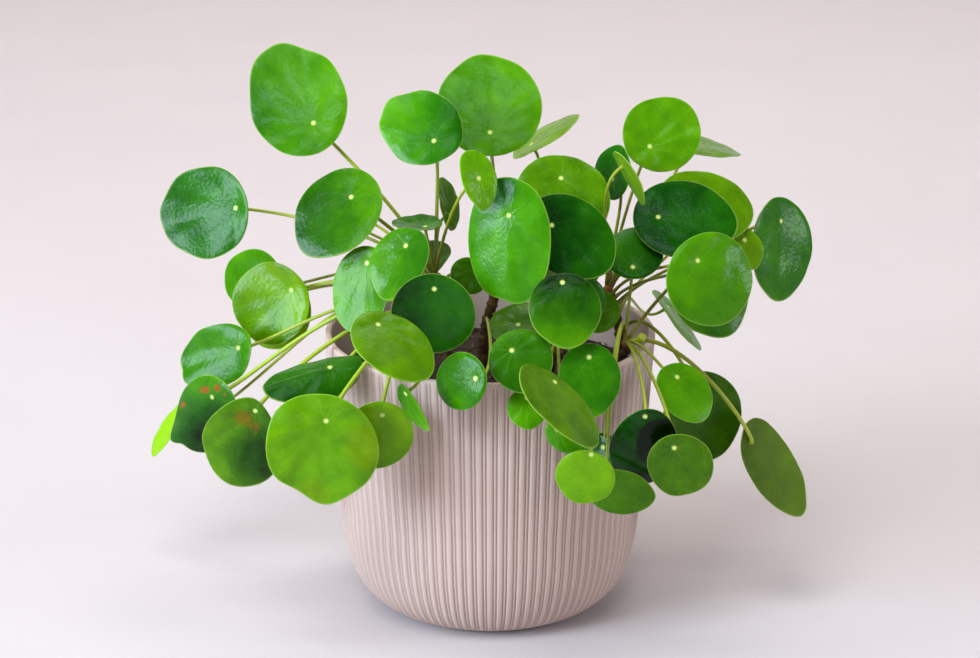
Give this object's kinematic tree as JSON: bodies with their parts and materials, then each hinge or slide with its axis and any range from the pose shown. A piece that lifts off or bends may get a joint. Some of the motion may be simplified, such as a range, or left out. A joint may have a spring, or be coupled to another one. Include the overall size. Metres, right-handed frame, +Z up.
{
  "type": "potted chinese money plant",
  "caption": "Round shield-shaped green leaves on thin stalks that fan out from short woody stems, in a pale ribbed ceramic pot filled with dark soil; it stands on a flat foot",
  "frame": {"origin": "the middle of the pot's flat underside, on the surface that the pot stands on", "axes": "+Z up, -Y towards the side that the picture shows, +X to the right of that view, along the plant's widest spread"},
  "size_m": [0.3915, 0.287, 0.3265],
  "materials": {
    "pot": "matte",
    "soil": "matte",
    "shoot": "satin",
    "blade": "satin"
  },
  "bodies": {
    "root": {"pot": "pot", "soil": "soil", "shoot_main": "shoot", "shoot_left": "shoot", "shoot_front": "shoot", "shoot_right": "shoot", "leaf_01": "blade", "leaf_02": "blade", "leaf_03": "blade", "leaf_04": "blade", "leaf_05": "blade", "leaf_06": "blade", "leaf_07": "blade", "leaf_08": "blade", "leaf_09": "blade", "leaf_10": "blade", "leaf_11": "blade", "leaf_12": "blade", "leaf_13": "blade", "leaf_14": "blade", "leaf_15": "blade", "leaf_16": "blade", "leaf_17": "blade", "leaf_18": "blade", "leaf_19": "blade", "leaf_20": "blade", "leaf_21": "blade", "leaf_22": "blade", "leaf_23": "blade", "leaf_24": "blade", "leaf_25": "blade", "leaf_26": "blade", "leaf_27": "blade", "leaf_28": "blade", "leaf_29": "blade", "leaf_30": "blade", "leaf_31": "blade", "leaf_32": "blade", "leaf_33": "blade", "leaf_34": "blade", "leaf_35": "blade", "leaf_36": "blade", "leaf_37": "blade", "leaf_38": "blade", "leaf_39": "blade", "leaf_40": "blade", "leaf_41": "blade", "leaf_42": "blade", "leaf_43": "blade", "leaf_44": "blade", "leaf_45": "blade", "leaf_46": "blade", "leaf_47": "blade", "leaf_48": "blade", "leaf_49": "blade", "leaf_50": "blade", "leaf_51": "blade", "leaf_52": "blade", "leaf_53": "blade"}
  },
  "joints": []
}
